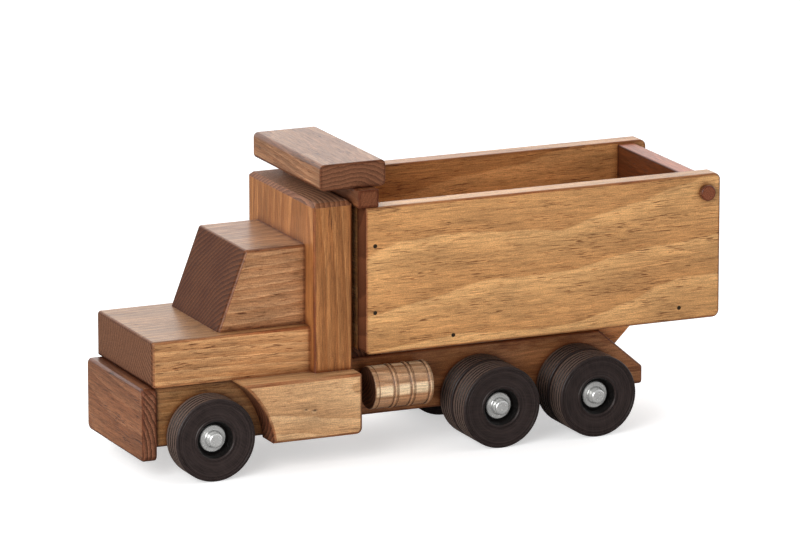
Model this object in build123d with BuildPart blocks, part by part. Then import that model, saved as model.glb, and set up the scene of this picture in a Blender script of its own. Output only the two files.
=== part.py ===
from build123d import *
import os
from math import sqrt

os.makedirs("parts", exist_ok=True)

# A wooden toy dump truck. Millimetres; +X is the truck's front, +Y its left side, +Z up.
# The origin is on the ground, under the middle of the truck.

# ---- Driving dimensions -------------------------------------------------------------------

# Overall
truck_length = 389.0
nose_x = truck_length / 2
tail_x = -truck_length / 2

# Running gear
wheel_diameter = 52.6
wheel_radius = wheel_diameter / 2
wheel_width = 17.6
axle_z = wheel_radius
axle_radius = 3.175
front_axle_x = 152.5
mid_axle_x = -41.4
rear_axle_x = -108.3
front_wheel_y = 45.4
dual_inner_y = 25.7
dual_gap = 2.1
dual_outer_y = dual_inner_y + wheel_width + dual_gap
running_clearance = 0.07
tight_clearance = 0.02

# Wheel profile: u runs outward from the wheel's inner face, v out from the axle
wheel_shoulder = 1.1
inner_shoulder = 0.9
inner_relief = 0.4
hub_boss_radius = 9.0
hub_floor_u = 11.2
hub_floor_radius = 9.6
hub_side_mid_rise = 2.2
hub_side_mid_spread = 1.0
face_flat_radius = 22.6
face_slope = 0.8
bead_outer_radius = 13.8
bead_top_radius = 12.7
bead_inner_radius = 11.8
bead_top_drop = 0.35
bead_inner_drop = 1.2
tread_grooves = 4
tread_pitch = 3.3
tread_groove_radius = 0.75
face_groove_at_radius = 24.1
face_groove_radius = 0.5

# Axle cap profile, with u outward from its flange's back
cap_flange_radius = 8.5
cap_flange_length = 1.0
cap_flange_chamfer = 0.4
cap_neck_radius = 6.3
cap_neck_end_u = 2.8
cap_stem_radius = 4.8
cap_crown_start_radius = 4.6
cap_crown_end_radius = 3.4
cap_length = 7.0
cap_wall = 1.4
cap_gap = 0.1
axle_end_chamfer = 0.5

# Washers that keep the two wheels of a pair apart
washer_radius = 7.0
washer_gap = 0.1

# Boards and stock
board = 12.7
edge_round = 1.5
fine_round = 0.8
dowel_radius = 3.175

# Chassis
chassis_bottom = 20.7
chassis_top = 58.8
bumper_thickness = 9.5
chassis_front_x = nose_x - bumper_thickness
chassis_rear_x = 54.0
chassis_half_width = 44.45
rail_outer_y = 25.2
rail_inner_y = rail_outer_y - board
rail_rear_x = -157.6
rail_slope_top_x = -126.8
rail_heel_z = 32.2
rail_end_corner = 2.0
tongue_rear_x = 6.0
bed_rest_front_x = 44.0
bed_rest_rear_x = 25.0
bed_rest_gap = 0.1

# Bumper
bumper_half_width = 46.6
bumper_bottom = 12.2
bumper_top = 58.5
bumper_corner = 4.5
bumper_face_round = 2.0

# Bonnet, cab and sleeper
sleeper_front_x = 82.0
sleeper_rear_x = 55.8
sleeper_top = 166.0
sleeper_half_width = 52.0
sleeper_bevel = 2.6
sleeper_corner = 1.8
hood_setback = 6.9
hood_front_x = nose_x - hood_setback
hood_top = 87.8
hood_half_width = 46.0
cab_top = 138.0
cab_half_width = 38.4
cab_foot_x = 140.9
cab_brow_x = 121.7
cab_round = 2.2

# Steps and fuel tanks
step_half_width = 63.5
step_bottom = 19.7
step_arch_radius = 57.0
step_arch_x = 170.5
step_arch_z = 14.1
step_toe_corner = 4.0
step_top_corner = 2.0
step_face_round = 2.4
tank_front_x = 40.5
tank_length = 40.5
tank_radius = 13.6
tank_y = 38.4
tank_z = 41.9
tank_bead_radius = 1.3
tank_bead_rise = 0.5
tank_groove_radius = 0.55
tank_groove_offset = 1.7
tank_line_radius = 0.4
tank_end_round = 1.2

# Dump bed
bed_front_x = 50.5
bed_bottom = 68.8
bed_top = 162.4
bed_half_width = 59.9
bed_inner_y = bed_half_width - board
side_rear_corner = 4.5
side_foot_corner = 3.5
riser_front_x = 55.3
riser_rear_x = 41.6
riser_height = 11.5
canopy_front_x = 78.1
canopy_rear_x = 33.8
canopy_thickness = 16.6
canopy_half_width = 52.7
canopy_long_round = 3.2
canopy_end_round = 0.8

# Tailgate and its pegs
gate_outer_x = tail_x + 4.5
gate_thickness = 15.9
gate_inner_x = gate_outer_x + gate_thickness
gate_top = bed_top - 1.7
gate_bottom = bed_bottom + 0.6
gate_side_gap = 0.5
gate_half_width = bed_inner_y - gate_side_gap
gate_top_round = 6.0
peg_x = tail_x + 10.3
peg_z = bed_top - 11.7
peg_head_radius = 5.1
peg_head_length = 4.0
peg_head_gap = 0.3
peg_head_chamfer = 0.5
peg_head_round = 1.3
peg_depth = 22.0

# Bed hinge
pivot_x = -125.5
pivot_z = 39.2
hinge_nose_radius = 9.0
hinge_half_width = rail_inner_y - 0.5

# Nails through the side boards
nail_radius = 0.8
nail_head_radius = 1.35
nail_head_length = 1.2
nail_length = 26.0
nail_sink = 0.4
headboard_nail_high_z = 137.8
headboard_nail_low_z = 95.3
floor_nail_front_x = -9.0
floor_nail_front_z = 75.8
floor_nail_rear_x = -165.9
floor_nail_rear_z = 77.3


# ---- Shared helpers -----------------------------------------------------------------------

def block_between(low_x, high_x, half_width, low_z, high_z):
    """A block centred on the truck's middle plane."""
    with Locations((low_x, 0, low_z)):
        Box(high_x - low_x, 2 * half_width, high_z - low_z, align=(Align.MIN, Align.CENTER, Align.MIN))


def turning_plane(x, y, side):
    """Half section of a piece turned about an axle: local x outward, local y up from the axle."""
    return Plane((x, side * y, axle_z), x_dir=(0, side, 0), z_dir=(side, 0, 0))


def crosswise(x, y, z, side=1):
    """Plane whose normal points out of the truck's left (side 1) or right (side -1)."""
    return Plane((x, side * y, z), z_dir=(0, side, 0))


def mirrored(piece):
    """The same piece on the truck's right side."""
    with BuildPart() as other:
        mirror(piece.part, about=Plane.XZ)
    return other


def save(piece, name):
    piece.part.label = name
    export_step(piece.part, f"parts/{name}.step")


# ---- Chassis ------------------------------------------------------------------------------

tongue_dowels = [(tank_front_x - tank_length * share, tank_z) for share in (0.25, 0.75)]

with BuildPart() as chassis_block:
    block_between(chassis_rear_x, chassis_front_x, chassis_half_width, chassis_bottom, chassis_top)
    fillet(chassis_block.edges().filter_by(Axis.X).group_by(Axis.Z)[0], edge_round)
    block_between(tongue_rear_x, chassis_rear_x, rail_inner_y, chassis_bottom, chassis_top)
    with Locations(crosswise(front_axle_x, 0, axle_z)):
        Hole(axle_radius + tight_clearance)
    with Locations(*[crosswise(x, 0, z) for x, z in tongue_dowels]):
        Hole(dowel_radius + tight_clearance)
save(chassis_block, "chassis_block")

with BuildPart() as left_rail:
    with BuildSketch(Plane.XZ.offset(-rail_outer_y)) as rail_outline:
        with BuildLine():
            Polyline(
                (chassis_rear_x, chassis_bottom),
                (chassis_rear_x, chassis_top),
                (rail_slope_top_x, chassis_top),
                (rail_rear_x, rail_heel_z),
                (rail_rear_x, chassis_bottom),
                close=True,
            )
        make_face()
        fillet(rail_outline.vertices().group_by(Axis.X)[0], rail_end_corner)
    extrude(amount=board)
    fillet(left_rail.faces().sort_by(Axis.Y)[-1].edges().filter_by(Axis.Z, reverse=True), edge_round)
    with Locations(crosswise(mid_axle_x, 0, axle_z), crosswise(rear_axle_x, 0, axle_z)):
        Hole(axle_radius + tight_clearance)
    with Locations(crosswise(pivot_x, 0, pivot_z), *[crosswise(x, 0, z) for x, z in tongue_dowels]):
        Hole(dowel_radius + tight_clearance)
right_rail = mirrored(left_rail)
save(left_rail, "left_rail")
save(right_rail, "right_rail")

with BuildPart() as rail_dowels:
    with Locations(*[crosswise(x, 0, z) for x, z in tongue_dowels]):
        Cylinder(dowel_radius, 2 * rail_outer_y)
save(rail_dowels, "rail_dowels")

with BuildPart() as bed_rest:
    block_between(bed_rest_rear_x, bed_rest_front_x, rail_outer_y, chassis_top, bed_bottom - bed_rest_gap)
    fillet(bed_rest.edges().group_by(Axis.Z)[-1], edge_round)
save(bed_rest, "bed_rest")

with BuildPart() as hinge_pin:
    with Locations(crosswise(pivot_x, 0, pivot_z)):
        Cylinder(dowel_radius, 2 * rail_outer_y)
save(hinge_pin, "hinge_pin")

with BuildPart() as front_bumper:
    block_between(chassis_front_x, nose_x, bumper_half_width, bumper_bottom, bumper_top)
    fillet(front_bumper.edges().filter_by(Axis.X), bumper_corner)
    fillet(front_bumper.faces().sort_by(Axis.X)[-1].edges(), bumper_face_round)
    fillet(front_bumper.faces().sort_by(Axis.X)[0].edges(), fine_round)
save(front_bumper, "front_bumper")


# ---- Bonnet, cab and sleeper --------------------------------------------------------------

def ahead_of_sleeper(edge):
    """True for an edge that the sleeper's front face leaves in view."""
    return edge.center().X > sleeper_front_x + edge_round


with BuildPart() as hood:
    block_between(sleeper_front_x, hood_front_x, hood_half_width, chassis_top, hood_top)
    hood_edges = hood.faces().sort_by(Axis.Z)[-1].edges() + hood.faces().sort_by(Axis.X)[-1].edges()
    fillet(hood_edges.filter_by(ahead_of_sleeper), cab_round)
save(hood, "hood")

with BuildPart() as cab:
    with BuildSketch(Plane.XZ.offset(-cab_half_width)) as cab_outline:
        with BuildLine():
            Polyline(
                (sleeper_front_x, hood_top),
                (cab_foot_x, hood_top),
                (cab_brow_x, cab_top),
                (sleeper_front_x, cab_top),
                close=True,
            )
        make_face()
    extrude(amount=2 * cab_half_width)
    cab_roof = cab.faces().sort_by(Axis.Z)[-1]
    cab_screen = cab.faces().sort_by(Axis.X)[-1]
    cab_edges = (cab_roof.edges() + cab_screen.edges()).filter_by(ahead_of_sleeper)
    fillet(cab_edges.filter_by(lambda edge: edge.center().Z > hood_top + edge_round), cab_round)
save(cab, "cab")

with BuildPart() as sleeper:
    block_between(sleeper_rear_x, sleeper_front_x, sleeper_half_width, chassis_top, sleeper_top)
    chamfer(sleeper.faces().sort_by(Axis.Z)[-1].edges(), sleeper_bevel)
    fillet(sleeper.edges().filter_by(Axis.Z), sleeper_corner)
save(sleeper, "sleeper")


# ---- Steps and fuel tanks -----------------------------------------------------------------

with BuildPart() as left_step:
    with BuildSketch(Plane.XZ.offset(-step_half_width)) as step_outline:
        with Locations(((chassis_rear_x + front_axle_x) / 2, (step_bottom + chassis_top) / 2)):
            Rectangle(front_axle_x - chassis_rear_x, chassis_top - step_bottom)
        with Locations((step_arch_x, step_arch_z)):
            Circle(step_arch_radius, mode=Mode.SUBTRACT)
        fillet(step_outline.vertices().group_by(Axis.X)[0].sort_by(Axis.Y)[0], step_toe_corner)
        fillet(step_outline.vertices().group_by(Axis.X)[0].sort_by(Axis.Y)[-1], step_top_corner)
    extrude(amount=step_half_width - chassis_half_width)
    fillet(left_step.faces().sort_by(Axis.Y)[-1].edges(), step_face_round)
right_step = mirrored(left_step)
save(left_step, "left_step")
save(right_step, "right_step")

tank_beads = [tank_front_x - tank_length * share for share in (0.355, 0.64, 0.945)]
tank_fine_lines = [tank_front_x - tank_length * share for share in (0.075, 0.395, 0.68)]

with BuildPart() as left_fuel_tank:
    with BuildSketch(Plane((0, tank_y, tank_z), x_dir=(1, 0, 0), z_dir=(0, -1, 0))) as tank_section:
        with Locations((tank_front_x - tank_length / 2, tank_radius / 2)):
            Rectangle(tank_length, tank_radius)
        fillet(tank_section.vertices().group_by(Axis.Y)[-1], tank_end_round)
        with Locations(*[(x, tank_radius - tank_bead_radius + tank_bead_rise) for x in tank_beads]):
            Circle(tank_bead_radius)
        with Locations(*[(x + tank_groove_offset, tank_radius) for x in tank_beads]):
            Circle(tank_groove_radius, mode=Mode.SUBTRACT)
        with Locations(*[(x, tank_radius) for x in tank_fine_lines]):
            Circle(tank_line_radius, mode=Mode.SUBTRACT)
    revolve(axis=Axis((0, tank_y, tank_z), (1, 0, 0)))
    split(bisect_by=Plane.XZ.offset(-rail_outer_y), keep=Keep.BOTTOM)
right_fuel_tank = mirrored(left_fuel_tank)
save(left_fuel_tank, "left_fuel_tank")
save(right_fuel_tank, "right_fuel_tank")


# ---- Dump bed -----------------------------------------------------------------------------

nail_places = [
    (bed_front_x - board / 2, headboard_nail_high_z),
    (bed_front_x - board / 2, headboard_nail_low_z),
    (floor_nail_front_x, floor_nail_front_z),
    (floor_nail_rear_x, floor_nail_rear_z),
]

with BuildPart() as bed_left_side:
    with BuildSketch(Plane.XZ.offset(-bed_half_width)) as side_outline:
        with Locations(((bed_front_x + tail_x) / 2, (bed_bottom + bed_top) / 2)):
            Rectangle(bed_front_x - tail_x, bed_top - bed_bottom)
        fillet(side_outline.vertices().group_by(Axis.X)[0], side_rear_corner)
        fillet(side_outline.vertices().group_by(Axis.X)[-1].sort_by(Axis.Y)[0], side_foot_corner)
    extrude(amount=board)
    fillet(bed_left_side.faces().sort_by(Axis.Y)[-1].edges(), edge_round)
    fillet(bed_left_side.faces().sort_by(Axis.Y)[0].edges(), fine_round)
    with Locations(crosswise(peg_x, bed_half_width, peg_z)):
        Hole(dowel_radius + running_clearance)
    with Locations(*[crosswise(x, bed_half_width, z) for x, z in nail_places]):
        CounterBoreHole(nail_radius, nail_head_radius, nail_sink + nail_head_length, depth=nail_length)
bed_right_side = mirrored(bed_left_side)
save(bed_left_side, "bed_left_side")
save(bed_right_side, "bed_right_side")

headboard_nails = [crosswise(x, bed_half_width, z, side) for x, z in nail_places[:2] for side in (1, -1)]
floor_nails = [crosswise(x, bed_half_width, z, side) for x, z in nail_places[2:] for side in (1, -1)]

with BuildPart() as headboard:
    block_between(bed_front_x - board, bed_front_x, bed_inner_y, bed_bottom, bed_top)
    fillet(headboard.edges().filter_by(Axis.Y).group_by(Axis.Z)[0].sort_by(Axis.X)[-1], edge_round)
    with Locations(*headboard_nails):
        Hole(nail_radius, depth=nail_length)
save(headboard, "headboard")

with BuildPart() as bed_floor:
    block_between(gate_inner_x, bed_front_x - board, bed_inner_y, bed_bottom, bed_bottom + board)
    with Locations(*floor_nails):
        Hole(nail_radius, depth=nail_length)
save(bed_floor, "bed_floor")

with BuildPart() as bed_nails:
    with Locations(*[place.offset(-nail_sink) for place in headboard_nails + floor_nails]):
        Cylinder(nail_head_radius, nail_head_length, align=(Align.CENTER, Align.CENTER, Align.MAX))
        Cylinder(nail_radius, nail_length - nail_sink, align=(Align.CENTER, Align.CENTER, Align.MAX))
save(bed_nails, "bed_nails")

canopy_bottom = bed_top + riser_height
canopy_top = canopy_bottom + canopy_thickness

with BuildPart() as canopy_riser:
    block_between(riser_rear_x, riser_front_x, bed_half_width, bed_top, canopy_bottom)
    fillet(canopy_riser.edges().filter_by(Axis.X), fine_round)
    fillet(canopy_riser.edges().filter_by(Axis.Z), fine_round)
save(canopy_riser, "canopy_riser")

with BuildPart() as canopy:
    block_between(canopy_rear_x, canopy_front_x, canopy_half_width, canopy_bottom, canopy_top)
    fillet(canopy.edges().filter_by(Axis.Y), canopy_long_round)
    fillet(canopy.faces().sort_by(Axis.Y)[-1].edges(), canopy_end_round)
    fillet(canopy.faces().sort_by(Axis.Y)[0].edges(), canopy_end_round)
save(canopy, "canopy")

nose_reach = hinge_nose_radius / sqrt(2)
hinge_depth = bed_bottom - pivot_z

with BuildPart() as hinge_block:
    with BuildSketch(Plane.XZ.offset(-hinge_half_width)):
        with BuildLine():
            Polyline(
                (pivot_x - nose_reach, pivot_z - nose_reach),
                (pivot_x + nose_reach, pivot_z - nose_reach),
                (pivot_x + 2 * nose_reach + hinge_depth, bed_bottom),
                (pivot_x - 2 * nose_reach - hinge_depth, bed_bottom),
                close=True,
            )
        make_face()
        with Locations((pivot_x, pivot_z)):
            Circle(hinge_nose_radius)
    extrude(amount=2 * hinge_half_width)
    with Locations(crosswise(pivot_x, 0, pivot_z)):
        Hole(dowel_radius + running_clearance)
save(hinge_block, "hinge_block")


# ---- Tailgate -----------------------------------------------------------------------------

with BuildPart() as tailgate:
    block_between(gate_outer_x, gate_inner_x, gate_half_width, gate_bottom, gate_top)
    fillet(tailgate.edges().filter_by(Axis.Y).group_by(Axis.Z)[-1].sort_by(Axis.X)[0], gate_top_round)
    fillet(tailgate.edges().filter_by(Axis.Y).group_by(Axis.Z)[-1].sort_by(Axis.X)[-1], fine_round)
    fillet(tailgate.edges().filter_by(Axis.Y).group_by(Axis.Z)[0], edge_round)
    with Locations(crosswise(peg_x, 0, peg_z)):
        Hole(dowel_radius + tight_clearance)
save(tailgate, "tailgate")

with BuildPart() as tailgate_pegs:
    head_start = peg_head_gap
    head_end = head_start + peg_head_length
    rim_u = head_end - peg_head_round
    rim_v = peg_head_radius - peg_head_round
    for side in (1, -1):
        with BuildSketch(Plane((peg_x, side * bed_half_width, peg_z), x_dir=(0, side, 0), z_dir=(side, 0, 0))):
            with BuildLine():
                Polyline(
                    (rim_u, peg_head_radius),
                    (head_start + peg_head_chamfer, peg_head_radius),
                    (head_start, peg_head_radius - peg_head_chamfer),
                    (head_start, dowel_radius),
                    (-peg_depth, dowel_radius),
                    (-peg_depth, 0),
                    (head_end, 0),
                    (head_end, rim_v),
                )
                CenterArc((rim_u, rim_v), peg_head_round, 0, 90)
            make_face()
        revolve(axis=Axis((peg_x, 0, peg_z), (0, 1, 0)))
save(tailgate_pegs, "tailgate_pegs")


# ---- Wheels, axles and caps ---------------------------------------------------------------

WHEELS = [
    ("front_left_wheel", front_axle_x, front_wheel_y, 1),
    ("front_right_wheel", front_axle_x, front_wheel_y, -1),
    ("mid_left_inner_wheel", mid_axle_x, dual_inner_y, 1),
    ("mid_left_outer_wheel", mid_axle_x, dual_outer_y, 1),
    ("mid_right_inner_wheel", mid_axle_x, dual_inner_y, -1),
    ("mid_right_outer_wheel", mid_axle_x, dual_outer_y, -1),
    ("rear_left_inner_wheel", rear_axle_x, dual_inner_y, 1),
    ("rear_left_outer_wheel", rear_axle_x, dual_outer_y, 1),
    ("rear_right_inner_wheel", rear_axle_x, dual_inner_y, -1),
    ("rear_right_outer_wheel", rear_axle_x, dual_outer_y, -1),
]


def turned_wheel(x, inner_y, side):
    """A turned wooden wheel with grooved tread and a dished hub, its inner face at inner_y."""
    bore = axle_radius + running_clearance
    shoulder_u = wheel_width - wheel_shoulder
    shoulder_v = wheel_radius - wheel_shoulder
    inner_u = inner_relief + inner_shoulder
    inner_v = wheel_radius - inner_shoulder
    bead_outer = (wheel_width - face_slope, bead_outer_radius)
    bead_top = (wheel_width - bead_top_drop, bead_top_radius)
    bead_inner = (wheel_width - bead_inner_drop, bead_inner_radius)
    hub_side = (hub_floor_u + hub_side_mid_rise, hub_floor_radius + hub_side_mid_spread)
    tread_middle = (inner_relief + wheel_width) / 2
    first_groove = tread_middle - tread_pitch * (tread_grooves - 1) / 2
    with BuildPart() as wheel:
        with BuildSketch(turning_plane(x, inner_y, side)):
            with BuildLine():
                Polyline((0, hub_boss_radius), (inner_relief, hub_boss_radius + 1), (inner_relief, inner_v))
                CenterArc((inner_u, inner_v), inner_shoulder, 180, -90)
                Line((inner_u, wheel_radius), (shoulder_u, wheel_radius))
                CenterArc((shoulder_u, shoulder_v), wheel_shoulder, 90, -90)
                Polyline((wheel_width, shoulder_v), (wheel_width, face_flat_radius), bead_outer)
                ThreePointArc(bead_outer, bead_top, bead_inner)
                ThreePointArc(bead_inner, hub_side, (hub_floor_u, hub_floor_radius))
                Polyline((hub_floor_u, hub_floor_radius), (hub_floor_u, bore), (0, bore), (0, hub_boss_radius))
            make_face()
            with Locations(*[(first_groove + i * tread_pitch, wheel_radius) for i in range(tread_grooves)]):
                Circle(tread_groove_radius, mode=Mode.SUBTRACT)
            with Locations((wheel_width, face_groove_at_radius)):
                Circle(face_groove_radius, mode=Mode.SUBTRACT)
        revolve(axis=Axis((x, 0, axle_z), (0, 1, 0)))
    return wheel


for name, x, inner_y, side in WHEELS:
    save(turned_wheel(x, inner_y, side), name)

AXLES = [
    ("front_axle", front_axle_x, front_wheel_y),
    ("mid_axle", mid_axle_x, dual_outer_y),
    ("rear_axle", rear_axle_x, dual_outer_y),
]


def axle_rod(x, outer_wheel_y):
    """A plain steel rod that ends inside its two caps."""
    half_length = outer_wheel_y + hub_floor_u + cap_gap + cap_length - cap_wall
    with BuildPart() as rod:
        with Locations(crosswise(x, 0, axle_z)):
            Cylinder(axle_radius, 2 * half_length)
        chamfer(rod.edges(), axle_end_chamfer)
    return rod


for name, x, outer_wheel_y in AXLES:
    save(axle_rod(x, outer_wheel_y), name)

with BuildPart() as wheel_washers:
    washer_places = [
        crosswise(x, dual_inner_y + wheel_width + dual_gap / 2, axle_z, side)
        for x in (mid_axle_x, rear_axle_x)
        for side in (1, -1)
    ]
    with Locations(*washer_places):
        Cylinder(washer_radius, dual_gap - 2 * washer_gap)
        Cylinder(axle_radius + tight_clearance, dual_gap, mode=Mode.SUBTRACT)
save(wheel_washers, "wheel_washers")

with BuildPart() as axle_caps:
    bore = axle_radius + tight_clearance
    rim_v = cap_flange_radius - cap_flange_chamfer
    crown_u = cap_length - (cap_crown_start_radius - cap_crown_end_radius)
    for _, x, outer_wheel_y in AXLES:
        cap_y = outer_wheel_y + hub_floor_u + cap_gap
        for side in (1, -1):
            with BuildSketch(turning_plane(x, cap_y, side)):
                with BuildLine():
                    Polyline(
                        (cap_length, cap_crown_end_radius),
                        (cap_length, 0),
                        (cap_length - cap_wall, 0),
                        (cap_length - cap_wall, bore),
                        (0, bore),
                        (0, cap_flange_radius),
                        (cap_flange_length - cap_flange_chamfer, cap_flange_radius),
                        (cap_flange_length, rim_v),
                        (cap_flange_length, cap_neck_radius),
                    )
                    TangentArc(
                        (cap_flange_length, cap_neck_radius),
                        (cap_neck_end_u, cap_stem_radius),
                        tangent=(0, -1),
                    )
                    Line((cap_neck_end_u, cap_stem_radius), (crown_u, cap_crown_start_radius))
                    CenterArc((crown_u, cap_crown_end_radius), cap_length - crown_u, 0, 90)
                make_face()
            revolve(axis=Axis((x, 0, axle_z), (0, 1, 0)))
save(axle_caps, "axle_caps")
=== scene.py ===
"""Looks of the wooden toy dump truck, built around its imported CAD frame.

Metres, +X front, +Y left, +Z up.
"""

import math

import bpy
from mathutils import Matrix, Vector


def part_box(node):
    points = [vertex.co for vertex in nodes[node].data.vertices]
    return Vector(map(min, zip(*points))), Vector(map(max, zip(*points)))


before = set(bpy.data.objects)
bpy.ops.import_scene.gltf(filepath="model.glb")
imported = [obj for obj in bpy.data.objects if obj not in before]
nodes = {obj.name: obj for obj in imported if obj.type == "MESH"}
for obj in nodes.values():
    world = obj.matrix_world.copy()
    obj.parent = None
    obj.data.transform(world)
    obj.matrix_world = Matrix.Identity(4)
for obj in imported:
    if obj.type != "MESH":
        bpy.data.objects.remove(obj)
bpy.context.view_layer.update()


def middle(node):
    low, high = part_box(node)
    return (low + high) / 2


def dress(piece, material):
    piece.data.materials.clear()
    piece.data.materials.append(material)


# ---- Node tree helpers --------------------------------------------------------------------

class Tree:
    """A material's node tree, with short calls for the nodes that the woods and metals use."""

    def __init__(self, name):
        self.material = bpy.data.materials.new(name)
        self.material.use_nodes = True
        self.nodes = self.material.node_tree.nodes
        self.links = self.material.node_tree.links
        self.shader = self.nodes["Principled BSDF"]

    def node(self, kind, **settings):
        made = self.nodes.new(kind)
        for key, value in settings.items():
            setattr(made, key, value)
        return made

    def feed(self, socket, value):
        if isinstance(value, bpy.types.NodeSocket):
            self.links.new(value, socket)
        elif isinstance(value, (int, float)) and socket.type == "RGBA":
            socket.default_value = (value, value, value, 1)
        else:
            socket.default_value = value

    def shade(self, **inputs):
        """Feeds the shader's inputs, whose names are given with underscores for spaces."""
        for key, value in inputs.items():
            self.feed(self.shader.inputs[key.replace("_", " ")], value)

    def math(self, operation, a, b=0.0, clamp=False):
        made = self.node("ShaderNodeMath", operation=operation, use_clamp=clamp)
        for socket, value in zip(made.inputs, (a, b)):
            self.feed(socket, value)
        return made.outputs[0]

    def add(self, a, b):
        return self.math("ADD", a, b)

    def less(self, a, b, clamp=False):
        return self.math("SUBTRACT", a, b, clamp)

    def times(self, a, b, clamp=False):
        return self.math("MULTIPLY", a, b, clamp)

    def smaller(self, a, b):
        return self.math("MINIMUM", a, b)

    def larger(self, a, b):
        return self.math("MAXIMUM", a, b)

    def absolute(self, a):
        return self.math("ABSOLUTE", a)

    def length(self, a, b):
        return self.math("SQRT", self.add(self.times(a, a), self.times(b, b)))

    def bell(self, square, steepness):
        return self.math("EXPONENT", self.times(square, -steepness))

    def vector(self, x, y, z):
        made = self.node("ShaderNodeCombineXYZ")
        for socket, value in zip(made.inputs, (x, y, z)):
            self.feed(socket, value)
        return made.outputs[0]

    def split(self, vector):
        made = self.node("ShaderNodeSeparateXYZ")
        self.feed(made.inputs[0], vector)
        return made.outputs

    def noise(self, vector, scale=1.0, detail=2.0, roughness=0.5, distortion=0.0):
        made = self.node("ShaderNodeTexNoise")
        self.feed(made.inputs["Vector"], vector)
        self.feed(made.inputs["Scale"], scale)
        self.feed(made.inputs["Detail"], detail)
        self.feed(made.inputs["Roughness"], roughness)
        self.feed(made.inputs["Distortion"], distortion)
        return made.outputs[0]

    def ramp(self, value, low, high, to_low=0.0, to_high=1.0):
        made = self.node("ShaderNodeMapRange", interpolation_type="SMOOTHSTEP")
        for socket, item in zip(made.inputs, (value, low, high, to_low, to_high)):
            self.feed(socket, item)
        return made.outputs[0]

    def curve(self, value, stops):
        made = self.node("ShaderNodeValToRGB")
        points = made.color_ramp.elements
        while len(points) < len(stops):
            points.new(0.5)
        for point, (position, colour) in zip(points, stops):
            point.position = position
            point.color = (*colour, 1) if isinstance(colour, tuple) else (colour, colour, colour, 1)
        self.feed(made.inputs[0], value)
        return made.outputs[0]

    def mix(self, share, a, b, blend="MIX"):
        made = self.node("ShaderNodeMix", data_type="RGBA", blend_type=blend)
        self.feed(made.inputs[0], share)
        self.feed(made.inputs[6], (*a, 1) if isinstance(a, tuple) else a)
        self.feed(made.inputs[7], (*b, 1) if isinstance(b, tuple) else b)
        return made.outputs[2]

    def tint(self, colour, factor):
        return self.mix(1.0, colour, factor, "MULTIPLY")

    def stain_and_shade(self, share, colour, factor):
        """The colour, multiplied by a factor where share is 1, for a real stain and for painted shade."""
        return self.mix(share, colour, self.tint(colour, factor))

    def crease(self, reach, samples, only_local):
        """How open a spot is, from 0 deep in a corner to 1 on an open face."""
        made = self.node("ShaderNodeAmbientOcclusion", samples=samples, only_local=only_local)
        self.feed(made.inputs["Distance"], reach)
        return made.outputs["AO"]

    def bump(self, height, distance, strength):
        made = self.node("ShaderNodeBump")
        self.feed(made.inputs["Height"], height)
        self.feed(made.inputs["Distance"], distance)
        self.feed(made.inputs["Strength"], strength)
        return made.outputs[0]


# ---- Wood ---------------------------------------------------------------------------------

# The grain's axis first, then the two axes across it
AXES = {"X": (0, 1, 2), "Y": (1, 0, 2), "Z": (2, 0, 1)}

# Noise drawn out along the grain: cycles per metre along and across it, then detail, roughness, distortion
BOW = (6.0, 16.0, 1.0)
WAVER = (28.0, 60.0, 2.0)
FIBRE_WAVER = (50.0, 500.0, 2.0)
FIBRE = (90.0, 2300.0, 3.0, 0.65)
STREAK = (30.0, 520.0, 5.0, 0.68, 0.2)
FLECK = (110.0, 1700.0, 1.0, 0.5, 0.1)
FLECK_CLUSTER = (22.0, 130.0, 1.0)
DASH = (120.0, 2300.0, 1.0, 0.5, 0.1)
PATCH = (18.0, 50.0, 3.0)

# Noise that is the same every way: cycles per metre, then detail, roughness
MOTTLE = (1500.0, 2.0)
PORES = (1900.0, 3.0, 0.75)

# How far the growth rings are pushed off their circles, in metres
BOW_DEPTH = 0.022
WAVER_DEPTH = 0.0035
FIBRE_WAVER_DEPTH = 0.0012
BORDER_WAVER_DEPTH = 0.0016

# Early and late wood against the board's tone, for one unit of line contrast
PALE_GAIN = (0.36, 0.48, 0.60)
DARK_LOSS = (0.22, 0.34, 0.44)

# The values of noise between which a mark or a shade comes in
MIDDLE_BAND = (0.3, 0.7)
FIBRE_BAND = (0.25, 0.75)
COAT_BAND = (0.2, 0.8)
PATCH_BAND = (0.35, 0.65)
FLECK_BAND = (0.57, 0.68)
CLUSTER_BAND = (0.46, 0.62)
DASH_BAND = (0.62, 0.71)

# Darkest and lightest of each shade
STREAK_RANGE = (-0.50, 0.42)
FIBRE_RANGE = (-0.24, 0.20)
PATCH_RANGE = (-1.0, 0.8)
MOTTLE_RANGE = (0.84, 1.16)
PORE_RANGE = (0.62, 1.38)

# How directly a surface faces along the grain on an end, upward on a top, and along any axis where it is
# flat and then where it is rounded
END_FACING = (0.35, 0.9)
TOP_FACING = (0.6, 0.9)
ROUNDED_FACING = (0.999, 0.95)

# How open a spot is where the painted crease shade starts and where it is full
CREASE_BAND = (0.95, 0.35)

# Where the tones of one growth ring change on a face, and its brightness on an end
FACE_RING = (0.0, 0.07, 0.34, 0.88, 0.965, 1.0)
END_RING = ((0.0, 1.7), (0.2, 1.4), (0.5, 1.0), (0.88, 0.5), (0.96, 0.5), (1.0, 1.7))

FLECK_STAIN = (0.24, 0.14, 0.10)
DASH_STAIN = (0.44, 0.28, 0.20)
EDGE_STAIN = (0.46, 0.29, 0.21)
CREASE_PAINTED_SHADE = (0.40, 0.26, 0.20)
KNOT_HEART = (0.055, 0.024, 0.012)
KNOT_LENGTH = 1.7
KNOT_PUSH = 0.9
KNOT_EDGE = 7.0
HEART_SHARE = 0.9
DASH_SHARE = 0.9
BORDER_SHARE = 0.75
PATCH_LEAST = 0.65
EDGE_FULL = 0.0008
EDGE_NONE = 0.0022
CREASE_REACH = 0.006
BARE_SPECULAR = 0.3
COAT_ROUGHNESS = 0.2
WOOD_RELIEF = 0.00012
COAT_RELIEF = 0.00006


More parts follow.
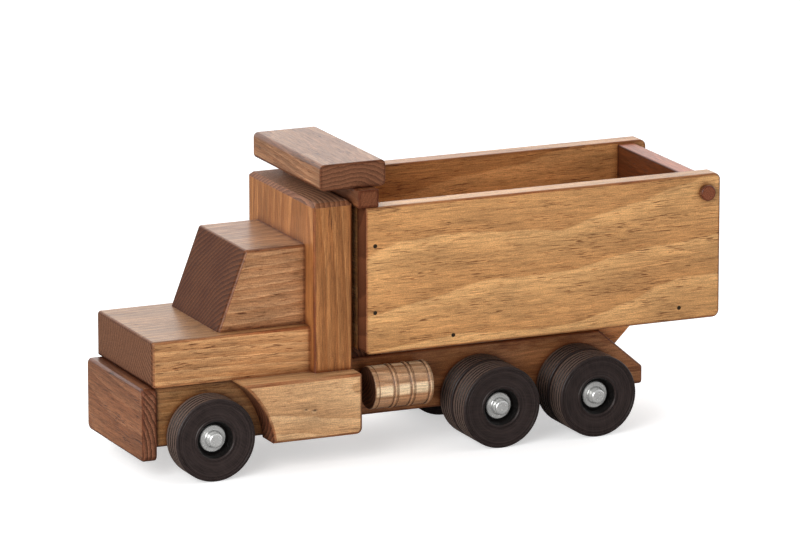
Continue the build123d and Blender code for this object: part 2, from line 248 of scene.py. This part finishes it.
class Grain:
    """A board's coordinates along its grain (u) and across it (v, w), and noise drawn out along the grain."""

    def __init__(self, tree, axis, seed):
        self.tree = tree
        self.axis = AXES[axis][0]
        place = tree.node("ShaderNodeTexCoord")
        self.place = place.outputs["Object"]
        self.facing = tree.split(place.outputs["Normal"])
        self.parts = tree.split(self.place)
        self.start, self.v, self.w = (self.parts[i] for i in AXES[axis])
        self.u = tree.add(self.start, seed)

    def noise(self, pattern):
        along, across, *settings = pattern
        tree = self.tree
        spot = tree.vector(tree.times(self.u, along), tree.times(self.v, across), tree.times(self.w, across))
        return tree.noise(spot, 1.0, *settings)

    def push(self, pattern, depth):
        """Noise about zero, as a distance."""
        return self.tree.times(self.tree.less(self.noise(pattern), 0.5), depth)


def knots_of(grain, knots):
    """How far the knots push the rings aside, and where their dark hearts are."""
    tree = grain.tree
    pull = 0.0
    heart = 0.0
    for along, up, size in knots:
        du = tree.math("DIVIDE", tree.less(grain.start, along), size * KNOT_LENGTH)
        dw = tree.math("DIVIDE", tree.less(grain.w, up), size)
        square = tree.add(tree.times(du, du), tree.times(dw, dw))
        pull = tree.add(pull, tree.times(tree.bell(square, 1.0), size * KNOT_PUSH))
        heart = tree.add(heart, tree.bell(square, KNOT_EDGE))
    return pull, heart


def ring_distance(grain, pith, wave, taper, pull):
    """Distance from the pith line, warped as a tree's growth is, and growing along the grain by the taper."""
    tree = grain.tree
    warp = tree.add(grain.push(BOW, BOW_DEPTH * wave), grain.push(WAVER, WAVER_DEPTH * wave))
    warp = tree.add(warp, grain.push(FIBRE_WAVER, FIBRE_WAVER_DEPTH))
    warp = tree.add(warp, pull)
    straight = tree.length(tree.less(grain.v, pith[0]), tree.less(grain.w, pith[1]))
    return tree.add(tree.add(straight, warp), tree.times(grain.u, taper))


def face_colour(grain, phase, fibre, patch, fleck, tone, lines, flecks, streaks, blotch):
    """Rings, streaks and flecks as a board's long faces show them."""
    tree = grain.tree
    pale = tuple(c * (1.0 + gain * lines) for c, gain in zip(tone, PALE_GAIN))
    dark = tuple(c * (1.0 - loss * lines) for c, loss in zip(tone, DARK_LOSS))
    colour = tree.curve(phase, list(zip(FACE_RING, (pale, pale, tone, dark, dark, pale))))

    streak = tree.ramp(grain.noise(STREAK), *MIDDLE_BAND, *(1.0 + part * streaks for part in STREAK_RANGE))
    cloud = tree.ramp(patch, *MIDDLE_BAND, *(1.0 + part * blotch for part in PATCH_RANGE))
    mottle = tree.ramp(tree.noise(grain.place, *MOTTLE), *MIDDLE_BAND, *MOTTLE_RANGE)
    shade = tree.add(streak, tree.ramp(fibre, *FIBRE_BAND, *FIBRE_RANGE))
    colour = tree.tint(colour, tree.times(tree.times(shade, cloud), mottle))

    dash = tree.ramp(grain.noise(DASH), *DASH_BAND)
    colour = tree.stain_and_shade(tree.times(fleck, flecks), colour, FLECK_STAIN)
    return tree.stain_and_shade(tree.times(dash, DASH_SHARE * flecks), colour, DASH_STAIN)


def end_colour(grain, distance, end_tone, end_ring, end_lines):
    """End grain: narrow rings and open pores that take more stain."""
    tree = grain.tree
    phase = tree.math("FRACT", tree.math("DIVIDE", distance, end_ring))
    rings = tree.curve(phase, END_RING)
    pores = tree.ramp(tree.noise(grain.place, *PORES), *MIDDLE_BAND, *PORE_RANGE)
    return tree.tint(tree.mix(end_lines, end_tone, rings, "MULTIPLY"), pores)


def stained_edges(grain, colour, box, patch, ends, rim):
    """Stain that gathers on rounded edges and in a narrow, uneven border inside them."""
    tree = grain.tree
    across = [tree.absolute(part) for part in grain.facing]
    widest = tree.larger(across[0], tree.larger(across[1], across[2]))
    rounded = tree.less(tree.ramp(widest, *ROUNDED_FACING), tree.times(ends, 0.3), clamp=True)
    gaps = [tree.smaller(tree.less(part, low), tree.less(high, part))
            for part, low, high in zip(grain.parts, *box)]
    inset = tree.larger(tree.smaller(gaps[0], gaps[1]), tree.smaller(tree.larger(gaps[0], gaps[1]), gaps[2]))
    uneven = tree.add(inset, grain.push(FIBRE_WAVER, BORDER_WAVER_DEPTH))
    border = tree.times(tree.ramp(uneven, EDGE_NONE, EDGE_FULL, 0.0, rim), BORDER_SHARE)
    share = tree.times(tree.larger(rounded, border), tree.ramp(patch, *PATCH_BAND, PATCH_LEAST, 1.0))
    return tree.stain_and_shade(share, colour, EDGE_STAIN)


def wood(name, box, axis, pith, tone, end_tone, ring=0.006, wave=1.0, lines=0.5, flecks=0.6, streaks=0.5,
         blotch=0.15, gloss=0.36, coat=0.2, seed=0.0, taper=0.04, end_ring=None, end_lines=1.0, top_painted_light=1.0,
         crease=1.0, rim=1.0, knots=()):
    """A stained and varnished board as a solid texture.

    Growth rings stand about a pith line along the grain, so faces show stripes or arches and ends show
    arcs. Late wood, which is hard, takes less stain and stays pale.
    """
    tree = Tree(name)
    grain = Grain(tree, axis, seed)
    pull, heart = knots_of(grain, knots)
    distance = ring_distance(grain, pith, wave, taper, pull)
    phase = tree.math("FRACT", tree.math("DIVIDE", distance, ring))
    fibre = grain.noise(FIBRE)
    patch = grain.noise(PATCH)
    fleck = tree.times(tree.ramp(grain.noise(FLECK), *FLECK_BAND),
                       tree.ramp(grain.noise(FLECK_CLUSTER), *CLUSTER_BAND))

    colour = face_colour(grain, phase, fibre, patch, fleck, tone, lines, flecks, streaks, blotch)
    if knots:
        colour = tree.mix(tree.times(heart, HEART_SHARE, clamp=True), colour, KNOT_HEART)
    ends = tree.ramp(tree.absolute(grain.facing[grain.axis]), *END_FACING)
    colour = tree.mix(ends, colour, end_colour(grain, distance, end_tone, end_ring or ring * 0.5, end_lines))
    # Painted light and shade on upward faces: the top factor lightens them above 1 as a painted sheen and
    # darkens them below 1 as painted shade
    colour = tree.tint(colour, tree.ramp(grain.facing[2], *TOP_FACING, 1.0, top_painted_light))
    colour = stained_edges(grain, colour, box, patch, ends, rim)
    # Painted shade: the wood is darkened where it is closed in, in creases and in gaps between parts
    open_air = tree.crease(CREASE_REACH, samples=4, only_local=False)
    colour = tree.stain_and_shade(tree.ramp(open_air, *CREASE_BAND, 0.0, crease), colour, CREASE_PAINTED_SHADE)

    height = tree.add(tree.times(fibre, 0.6), tree.times(phase, 0.2))
    height = tree.less(height, tree.times(fleck, 0.8))
    tree.shade(
        Base_Color=colour,
        Roughness=tree.add(tree.ramp(fibre, *COAT_BAND, gloss + 0.12, gloss - 0.05), tree.times(ends, 0.2)),
        Specular_IOR_Level=tree.less(BARE_SPECULAR, tree.times(ends, 0.2)),
        Coat_Weight=tree.times(coat, tree.less(1.0, tree.times(ends, 0.8))),
        Coat_Roughness=COAT_ROUGHNESS,
        Normal=tree.bump(height, WOOD_RELIEF, 0.8),
        Coat_Normal=tree.bump(height, COAT_RELIEF, 0.5),
    )
    return tree.material


PINE = (0.62, 0.320, 0.120)
PINE_END = (0.115, 0.038, 0.016)
WALNUT_END = (0.150, 0.058, 0.030)
RAIL = (0.43, 0.172, 0.064)
STEP = (0.60, 0.345, 0.165)
TANK = (1.0, 0.76, 0.49)
TANK_END = (0.10, 0.040, 0.022)

BED_SIDE = dict(ring=0.027, wave=2.0, lines=0.5, taper=-0.08, streaks=0.38, blotch=0.14, end_lines=0.35)
STEP_BLOCK = dict(ring=0.006, wave=0.7, lines=0.45, flecks=0.6)
TURNED_TANK = dict(ring=0.004, gloss=0.26, coat=0.4, flecks=0.3, crease=0.2, rim=0.0)
DOWEL = dict(ring=0.002, rim=0.0)

# node: grain axis, pith offset across the grain from the piece's own middle, tone, end tone, more settings.
# A knot is its place along X, its height and its size.
# The top setting is painted light on the upward faces: above 1 a painted sheen, below 1 painted shade
BOARDS = {
    "bed_left_side": ("X", (-0.030, 0.058), PINE, PINE_END, dict(BED_SIDE, flecks=0.9, seed=0.31)),
    "bed_right_side": ("X", (0.030, 0.058), (0.52, 0.240, 0.085), PINE_END,
                       dict(BED_SIDE, flecks=0.8, seed=1.17)),
    "headboard": ("Y", (-0.060, 0.020), PINE, PINE_END, dict(ring=0.010, seed=2.4)),
    "bed_floor": ("X", (0.010, -0.055), PINE, PINE_END, dict(ring=0.010, seed=3.3)),
    "tailgate": ("Y", (0.050, -0.015), (0.105, 0.026, 0.007), PINE_END, dict(ring=0.010, seed=4.1, top_painted_light=3.9)),
    "canopy": ("Y", (0.016, -0.095), (0.30, 0.142, 0.066), (0.165, 0.067, 0.034),
               dict(ring=0.005, flecks=0.9, lines=0.6, seed=5.2, end_ring=0.0030, top_painted_light=1.15, end_lines=0.6)),
    "canopy_riser": ("Y", (0.030, 0.010), (0.20, 0.075, 0.030), (0.160, 0.053, 0.023),
                     dict(ring=0.005, seed=6.6, end_lines=0.25)),
    "sleeper": ("Z", (0.060, 0.030), (0.365, 0.145, 0.044), (0.27, 0.135, 0.078),
                dict(ring=0.0065, wave=0.5, lines=0.55, flecks=0.55, seed=7.7, streaks=0.42)),
    "cab": ("X", (0.075, -0.080), (0.41, 0.200, 0.088), (0.118, 0.043, 0.017),
            dict(wave=0.6, flecks=0.9, seed=8.2, end_ring=0.0032, end_lines=0.75, top_painted_light=0.90)),
    "hood": ("X", (0.060, 0.025), (0.54, 0.270, 0.109), (0.140, 0.060, 0.031),
             dict(ring=0.0055, wave=0.7, flecks=1.0, seed=9.4, end_ring=0.0028, end_lines=0.7, top_painted_light=0.66)),
    "front_bumper": ("Y", (0.050, -0.020), (0.235, 0.090, 0.036), (0.155, 0.062, 0.033),
                     dict(wave=0.9, flecks=0.9, seed=10.2, end_ring=0.0032)),
    "chassis_block": ("X", (0.015, 0.070), (0.28, 0.132, 0.048), WALNUT_END, dict(seed=11.5)),
    "left_rail": ("X", (-0.040, 0.015), RAIL, WALNUT_END, dict(ring=0.007, seed=12.3)),
    "right_rail": ("X", (0.040, 0.015), RAIL, WALNUT_END, dict(ring=0.007, seed=13.9)),
    "bed_rest": ("Y", (0.030, -0.020), RAIL, WALNUT_END, dict(seed=14.1)),
    "hinge_block": ("X", (0.020, -0.040), (0.86, 0.36, 0.12), WALNUT_END, dict(seed=15.8)),
    "left_step": ("X", (-0.035, 0.020), STEP, WALNUT_END,
                  dict(STEP_BLOCK, seed=16.4, knots=((0.0865, 0.0385, 0.0022), (0.0925, 0.0395, 0.0018)))),
    "right_step": ("X", (0.035, 0.020), STEP, WALNUT_END,
                   dict(STEP_BLOCK, seed=17.3, knots=((0.112, 0.036, 0.0022),))),
    "left_fuel_tank": ("X", (-0.020, 0.020), TANK, TANK_END, dict(TURNED_TANK, seed=18.6)),
    "right_fuel_tank": ("X", (0.020, 0.020), TANK, TANK_END, dict(TURNED_TANK, seed=19.2)),
    "rail_dowels": ("Y", (0.02, 0.02), STEP, PINE_END, dict(DOWEL, seed=20.5)),
    "hinge_pin": ("Y", (0.02, 0.02), STEP, PINE_END, dict(DOWEL, seed=21.5)),
    "tailgate_pegs": ("Y", (0.004, 0.002), (0.19, 0.065, 0.03), (0.22, 0.07, 0.034),
                      dict(DOWEL, gloss=0.24, coat=0.6, seed=22.1)),
}


def dress_boards():
    for node, (axis, offset, tone, end_tone, settings) in BOARDS.items():
        centre = middle(node)
        _, v, w = AXES[axis]
        pith = (centre[v] + offset[0], centre[w] + offset[1])
        dress(nodes[node], wood(f"{node}_wood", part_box(node), axis, pith, tone, end_tone, **settings))


dress_boards()


# ---- Metal --------------------------------------------------------------------------------

SCRATCH_ACROSS = 900.0
SCRATCH_ALONG = 120.0
SCRATCHES = (1.0, 4.0, 0.65)
POLISH_CLOUDS = (260.0, 3.0)
DULL_SHARE = 0.9
NECK_BAND = (0.92, 0.55)
NECK_REACH = 0.0022
NECK_PAINTED_SHADE = (0.03, 0.027, 0.024)
SCRATCH_DEPTH = 0.00001


def bright_metal(name, colour, rough, scratch, shine=1.0, neck_shade=0.0):
    """Plated or drawn steel with fine scratches, a slightly uneven polish and painted shade in its corners.
    """
    tree = Tree(name)
    place = tree.node("ShaderNodeTexCoord").outputs["Object"]
    x, y, z = tree.split(place)
    lines = tree.vector(tree.times(x, SCRATCH_ACROSS), tree.times(y, SCRATCH_ALONG),
                        tree.times(z, SCRATCH_ACROSS))
    fine = tree.noise(lines, *SCRATCHES)
    cloud = tree.noise(place, *POLISH_CLOUDS)
    dull = tuple(c * DULL_SHARE for c in colour)
    polish = tree.mix(tree.ramp(cloud, *MIDDLE_BAND), dull, colour)
    # Painted shade: the metal is darkened where it is closed in, as in the cap's neck
    open_air = tree.crease(NECK_REACH, samples=8, only_local=True)
    tree.shade(
        Metallic=shine,
        Base_Color=tree.mix(tree.ramp(open_air, *NECK_BAND, 0.0, neck_shade), polish, NECK_PAINTED_SHADE),
        Roughness=tree.add(rough, tree.ramp(fine, *MIDDLE_BAND, 0.0, scratch)),
        Normal=tree.bump(fine, SCRATCH_DEPTH, 0.12),
    )
    return tree.material


def dress_metal():
    cap = bright_metal("cap_zinc", (0.98, 0.98, 0.96), 0.22, 0.06, shine=0.70, neck_shade=0.95)
    steel = bright_metal("axle_steel", (0.58, 0.58, 0.60), 0.28, 0.18)
    nail = bright_metal("nail_steel", (0.09, 0.07, 0.05), 0.5, 0.2)
    dress(nodes["axle_caps"], cap)
    dress(nodes["bed_nails"], nail)
    for node in ("front_axle", "mid_axle", "rear_axle", "wheel_washers"):
        dress(nodes[node], steel)


dress_metal()


# ---- Wheels -------------------------------------------------------------------------------

BLACK_LOW = (0.013, 0.0080, 0.0072)
BLACK_HIGH = (0.032, 0.0205, 0.0190)
TURNING_LINE = (0.072, 0.050, 0.045)
WAX_CLOUD = (0.046, 0.031, 0.029)
TREAD_WEAR_AND_SHEEN = (0.150, 0.102, 0.082)
GROOVE_PAINTED_SHADE = (0.003, 0.002, 0.0018)
SHOULDER_IN = 0.0014
SHOULDER_OUT = 0.0011
GROOVE_EDGE = 0.00004
GROOVE_DEEP = 0.00028
WHEEL_GRAIN = (90.0, 1100.0)
WHEEL_FIBRE = (1.0, 4.0, 0.65)
TURNING_CYCLES = (3000.0, 2200.0)
TURNING = (1.0, 2.0, 0.6)
WAX_PATCHES = (120.0, 3.0)
WAX_ROUGHNESS = (0.46, 0.34)
WHEEL_RELIEF = 0.00012
FIRST_TURN = 0.7
TURN_STEP = 1.9


def wheel_stain(name, centre, half_width, rim, turn):
    """Nearly black stained and waxed turned wood.

    It has faint grain across the wheel, fine turning lines, brown on the ridges of the tread that is both
    wear and a painted highlight, and painted shade in the tread's grooves.
    """
    tree = Tree(name)
    place = tree.node("ShaderNodeTexCoord").outputs["Object"]
    parts = tree.split(place)
    x = tree.less(parts[0], centre.x)
    y = tree.absolute(tree.less(parts[1], centre.y))
    z = tree.less(parts[2], centre.z)
    radius = tree.length(x, z)
    c, s = math.cos(turn), math.sin(turn)
    along = tree.add(tree.times(x, c), tree.times(z, s))
    across = tree.less(tree.times(z, c), tree.times(x, s))
    slow, fast = WHEEL_GRAIN
    drawn_out = tree.vector(tree.times(along, slow), tree.times(across, fast), tree.times(parts[1], fast))
    grain = tree.noise(drawn_out, *WHEEL_FIBRE)
    cloud = tree.noise(place, *WAX_PATCHES)
    lathe = tree.vector(tree.times(radius, TURNING_CYCLES[0]), tree.times(parts[1], TURNING_CYCLES[1]), 0.0)
    turning = tree.noise(lathe, *TURNING)

    tone = tree.mix(tree.ramp(grain, 0.3, 0.75), BLACK_LOW, BLACK_HIGH)
    tone = tree.mix(tree.ramp(turning, 0.45, 0.75, 0.0, 0.75), tone, TURNING_LINE)
    tone = tree.mix(tree.ramp(cloud, 0.4, 0.7, 0.0, 0.3), tone, WAX_CLOUD)
    tread = tree.ramp(y, half_width - SHOULDER_IN, half_width - SHOULDER_OUT, 1.0, 0.0)
    # Painted shade: the tread's grooves are painted near black
    groove_shade = tree.ramp(radius, rim - GROOVE_EDGE, rim - GROOVE_DEEP)
    # Wear and painted highlight: the tread's ridges are painted brown
    wear_and_sheen = tree.times(tread, tree.ramp(grain, 0.3, 0.65, 0.45, 1.0))
    tone = tree.mix(wear_and_sheen, tone, TREAD_WEAR_AND_SHEEN)
    height = tree.add(tree.times(turning, 0.8), tree.times(grain, 0.6))
    tree.shade(
        Base_Color=tree.mix(tree.times(tread, groove_shade), tone, GROOVE_PAINTED_SHADE),
        Roughness=tree.ramp(grain, *MIDDLE_BAND, *WAX_ROUGHNESS),
        Specular_IOR_Level=BARE_SPECULAR,
        Normal=tree.bump(height, WHEEL_RELIEF, 0.8),
    )
    return tree.material


def dress_wheels():
    wheels = sorted(name for name in nodes if name.endswith("_wheel"))
    for index, name in enumerate(wheels):
        low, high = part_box(name)
        half = (high - low) / 2
        turn = FIRST_TURN + TURN_STEP * index
        dress(nodes[name], wheel_stain(f"{name}_stain", middle(name), half.y, half.z, turn))


dress_wheels()


# ---- Stage, light and camera --------------------------------------------------------------

LOOK_AT = Vector((0, 0, 0.09))
PAPER_LOW = (0.80, 0.80, 0.80)
PAPER_HIGH = (0.84, 0.84, 0.84)
PAPER_GLOW = 0.50
BOUNCE = (0.66, 0.66, 0.66)
GLOSSY_BOUNCE = (0.16, 0.16, 0.16)
FLOOR_SIZE = 12
PAPER_PATCHES = (3.0, 2.0)
LENS_MM = 295.515
SENSOR_MM = 36.0
WALL_DIRECTION = (-0.41, -0.91, 0.0)
WALL_FADE = (-0.5, 0.7)
FRONT_GLOW = 0.30
WALL_GLOW = 1.55


def outward(azimuth, elevation):
    """The direction from the toy toward a viewpoint, with azimuth 0 at -Y and 90 at +X, in degrees."""
    a, e = math.radians(azimuth), math.radians(elevation)
    return Vector((math.sin(a) * math.cos(e), -math.cos(a) * math.cos(e), math.sin(e)))


def pale_floor():
    """Paper that is almost white to the camera, lights the toy from below and stays dim in its varnish."""
    bpy.ops.mesh.primitive_plane_add(size=FLOOR_SIZE)
    floor = bpy.context.object
    floor.name = "floor"
    tree = Tree("floor_paper")
    cloud = tree.noise(tree.node("ShaderNodeTexCoord").outputs["Object"], *PAPER_PATCHES)
    path = tree.node("ShaderNodeLightPath")
    seen = path.outputs["Is Camera Ray"]
    bounce = tree.mix(path.outputs["Is Glossy Ray"], BOUNCE, GLOSSY_BOUNCE)
    tree.shade(
        Base_Color=tree.mix(seen, bounce, tree.mix(cloud, PAPER_LOW, PAPER_HIGH)),
        Roughness=0.9,
        Emission_Color=(1, 1, 1, 1),
        Emission_Strength=tree.times(seen, PAPER_GLOW),
    )
    floor.data.materials.append(tree.material)


def soft_light(name, azimuth, elevation, distance, size, power):
    light = bpy.data.lights.new(name, "AREA")
    light.shape = "DISK"
    light.size = size
    light.energy = power
    lamp = bpy.data.objects.new(name, light)
    bpy.context.scene.collection.objects.link(lamp)
    back = outward(azimuth, elevation)
    lamp.location = LOOK_AT + back * distance
    lamp.rotation_euler = back.to_track_quat("Z", "Y").to_euler()


def camera(azimuth, elevation, distance, shift_right, shift_up):
    """A long lens looking at the truck's middle."""
    data = bpy.data.cameras.new("camera")
    data.sensor_width = SENSOR_MM
    data.lens = LENS_MM
    data.clip_end = 50
    eye = bpy.data.objects.new("camera", data)
    bpy.context.scene.collection.objects.link(eye)
    back = outward(azimuth, elevation)
    right = Vector((0, 0, 1)).cross(back).normalized()
    up = back.cross(right)
    eye.location = LOOK_AT + right * shift_right + up * shift_up + back * distance
    eye.rotation_euler = back.to_track_quat("Z", "Y").to_euler()
    bpy.context.scene.camera = eye


def room():
    """White behind the toy and dimmer on the camera's side, as in front of a lit backdrop."""
    world = bpy.data.worlds.new("studio")
    bpy.context.scene.world = world
    world.use_nodes = True
    tree = world.node_tree
    background = tree.nodes["Background"]
    background.inputs[0].default_value = (1, 1, 1, 1)
    view = tree.nodes.new("ShaderNodeTexCoord")
    away = tree.nodes.new("ShaderNodeVectorMath")
    away.operation = "DOT_PRODUCT"
    away.inputs[1].default_value = WALL_DIRECTION
    tree.links.new(view.outputs["Generated"], away.inputs[0])
    fade = tree.nodes.new("ShaderNodeMapRange")
    fade.interpolation_type = "SMOOTHSTEP"
    for socket, value in zip(fade.inputs[1:5], (*WALL_FADE, FRONT_GLOW, WALL_GLOW)):
        socket.default_value = value
    tree.links.new(away.outputs["Value"], fade.inputs[0])
    path = tree.nodes.new("ShaderNodeLightPath")
    seen = tree.nodes.new("ShaderNodeMix")
    seen.inputs[3].default_value = 1.0
    tree.links.new(path.outputs["Is Camera Ray"], seen.inputs[0])
    tree.links.new(fade.outputs[0], seen.inputs[2])
    tree.links.new(seen.outputs[0], background.inputs[1])


pale_floor()
soft_light("key", azimuth=128, elevation=20, distance=1.6, size=1.1, power=21.5)
room()
bpy.context.scene.view_settings.view_transform = "Standard"
camera(azimuth=155.866, elevation=13.589, distance=4.137, shift_right=-0.0005, shift_up=0.0169)
